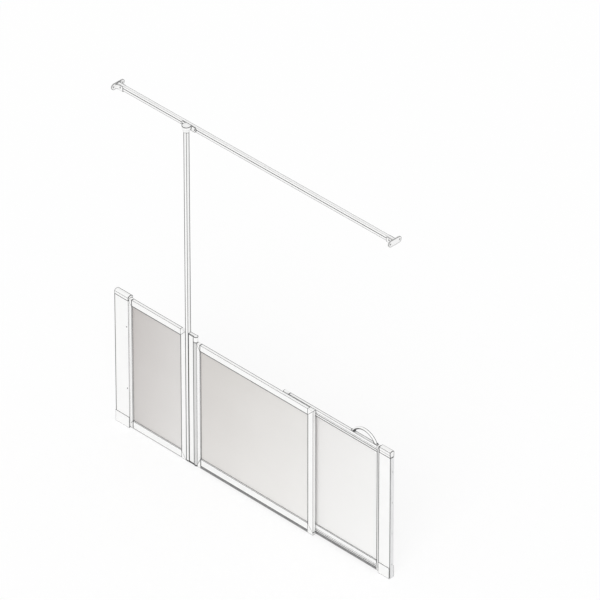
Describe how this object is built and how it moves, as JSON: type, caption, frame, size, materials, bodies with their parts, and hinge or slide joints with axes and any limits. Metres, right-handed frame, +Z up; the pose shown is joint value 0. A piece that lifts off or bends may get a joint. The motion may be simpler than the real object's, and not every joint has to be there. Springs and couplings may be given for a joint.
{
  "type": "half-height shower screen",
  "caption": "White framed half-height shower screen for an alcove: fixed frosted panel, slim post up to a curtain rail, outward-swinging door carrying a sliding panel",
  "frame": {"origin": "on the left wall face at floor level, in the middle of the thickness of the fixed panel and the door", "axes": "+X across the alcove from the left wall to the right wall, +Y into the alcove away from the room, +Z up"},
  "size_m": [1.815, 0.0893, 1.9255],
  "materials": {
    "white_powder_coat": "satin powder coat",
    "white_plastic": "smooth",
    "sliding_plastic": "matt",
    "aluminium": "mill finish",
    "steel": "brushed",
    "frosted_glass": "frosted",
    "gasket_rubber": "matt",
    "seal_rubber": "matt",
    "magnet_strip": "satin",
    "dark_plastic": "matt"
  },
  "bodies": {
    "frame": {"left_wall_channel": "aluminium", "left_infill_profile": "white_powder_coat", "left_profile_cap": "white_plastic", "left_bottom_cover": "white_plastic", "left_profile_screws": "steel", "left_channel_screws": "steel", "fixed_left_stile": "white_powder_coat", "fixed_right_stile": "white_powder_coat", "fixed_top_rail": "white_powder_coat", "fixed_bottom_rail": "white_powder_coat", "fixed_corner_blocks": "white_plastic", "fixed_glass": "frosted_glass", "fixed_gasket": "gasket_rubber", "support_post": "white_powder_coat", "post_foot": "white_plastic", "post_rail_bracket": "white_plastic", "post_bracket_screws": "steel", "post_through_screws": "steel", "curtain_rail": "white_powder_coat", "rail_bracket_left": "white_plastic", "rail_bracket_right": "white_plastic", "rail_grub_screws": "steel", "hinge_jamb": "white_powder_coat", "top_hinge_bearing": "white_plastic", "bottom_pivot_block": "dark_plastic", "hinge_pins": "steel", "right_wall_channel": "aluminium", "strike_profile": "white_powder_coat", "right_profile_cap": "white_plastic", "right_bottom_cover": "white_plastic", "strike_magnet": "magnet_strip", "right_channel_screws": "steel"},
    "door": {"door_hinge_stile": "white_powder_coat", "door_meeting_stile": "white_powder_coat", "door_top_rail": "white_powder_coat", "door_bottom_rail": "white_powder_coat", "door_corner_blocks": "white_plastic", "door_glass": "frosted_glass", "door_gasket": "gasket_rubber", "door_bottom_seal": "seal_rubber", "door_wiper_seal": "seal_rubber", "door_guide_shoes": "sliding_plastic", "hinge_bushes": "sliding_plastic"},
    "slider": {"slider_left_stile": "white_powder_coat", "slider_closing_stile": "white_powder_coat", "slider_top_rail": "white_powder_coat", "slider_bottom_rail": "white_powder_coat", "slider_corner_blocks": "white_plastic", "slider_glass": "frosted_glass", "slider_gasket": "gasket_rubber", "slider_bottom_seal": "seal_rubber", "slider_magnet": "magnet_strip", "slider_guide_shoes": "sliding_plastic", "slider_handle": "white_plastic", "handle_screws": "steel"}
  },
  "joints": [
    {"name": "door_hinge", "type": "hinge", "parent": "frame", "child": "door", "pos_m": [0.537, 0, 0], "axis": [0, 0, 1], "range_deg": [-95, 0]},
    {"name": "panel_slide", "type": "slide", "parent": "door", "child": "slider", "axis": [-1, 0, 0], "range_m": [0, 0.4]}
  ]
}
